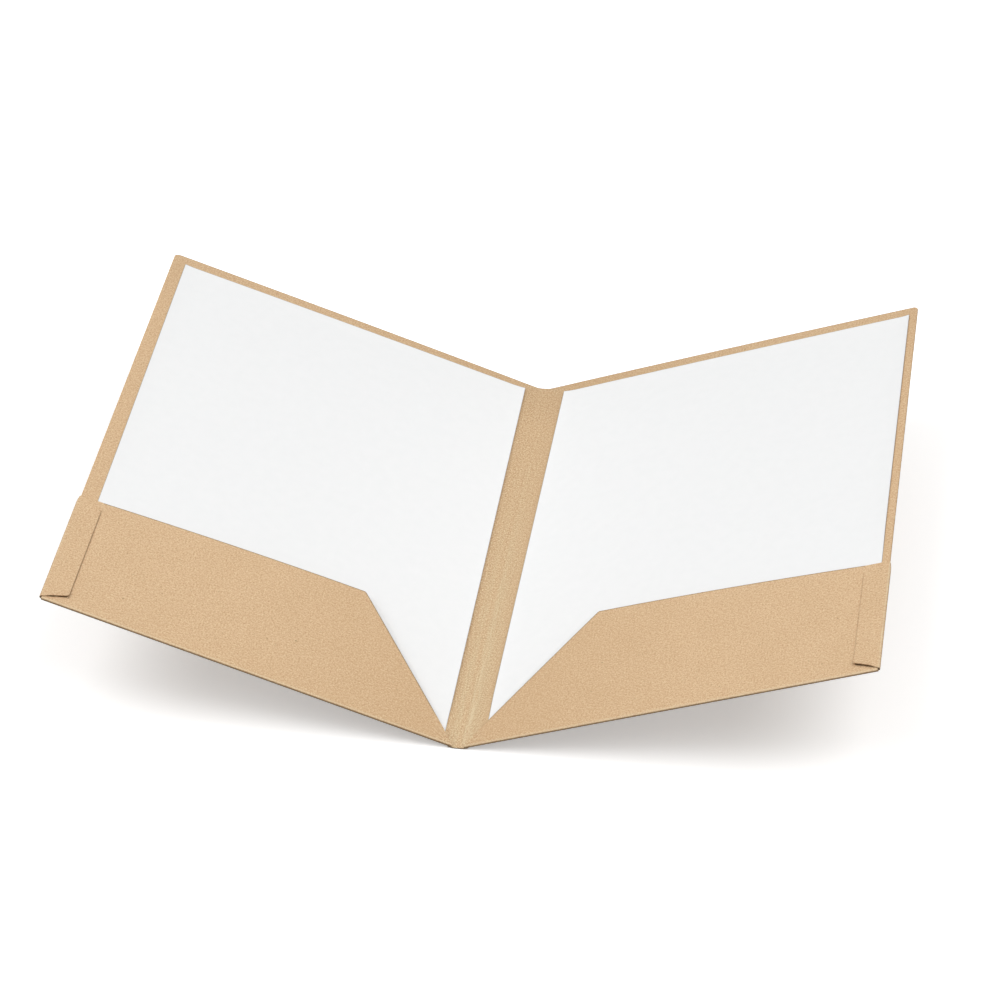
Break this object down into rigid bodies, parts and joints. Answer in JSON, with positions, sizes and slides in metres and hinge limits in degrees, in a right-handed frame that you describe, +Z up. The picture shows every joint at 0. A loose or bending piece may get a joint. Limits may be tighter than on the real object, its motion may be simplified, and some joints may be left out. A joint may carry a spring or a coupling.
{
  "type": "two pocket folder",
  "caption": "Kraft board presentation folder, open in a shallow V on its spine, with a slant-cut glued pocket inside each cover holding a loose plain white sheet.",
  "frame": {"origin": "on the surface that the folder lies on, under the middle of the spine", "axes": "+X across the covers, +Y along the spine from the pockets to the top edge, +Z up"},
  "size_m": [0.4302, 0.305, 0.0813],
  "materials": {
    "kraft_board": "matt, fibrous",
    "dried_glue": "dull film",
    "white_paper": "matt"
  },
  "bodies": {
    "spine": {"spine_panel": "kraft_board", "left_crease": "kraft_board", "right_crease": "kraft_board"},
    "left_cover": {"left_cover_panel": "kraft_board", "left_pocket_fold": "kraft_board", "left_pocket_panel": "kraft_board", "left_flap_fold": "kraft_board", "left_glue_flap": "kraft_board", "left_glue_strip": "dried_glue"},
    "left_sheet": {"left_sheet": "white_paper"},
    "right_cover": {"right_cover_panel": "kraft_board", "right_pocket_fold": "kraft_board", "right_pocket_panel": "kraft_board", "right_flap_fold": "kraft_board", "right_glue_flap": "kraft_board", "right_glue_strip": "dried_glue"},
    "right_sheet": {"right_sheet": "white_paper"}
  },
  "joints": [
    {"name": "left_cover_hinge", "type": "hinge", "parent": "spine", "child": "left_cover", "pos_m": [-0.003, 0, 0.00025], "axis": [0, 1, 0], "range_deg": [-20.5, 69.5]},
    {"name": "left_sheet_slide", "type": "slide", "parent": "left_cover", "child": "left_sheet", "axis": [0, 1, 0], "range_m": [0, 0.305]},
    {"name": "right_cover_hinge", "type": "hinge", "parent": "spine", "child": "right_cover", "pos_m": [0.003, 0, 0.00025], "axis": [0, -1, 0], "range_deg": [-20.5, 69.5]},
    {"name": "right_sheet_slide", "type": "slide", "parent": "right_cover", "child": "right_sheet", "axis": [0, 1, 0], "range_m": [0, 0.305]}
  ]
}
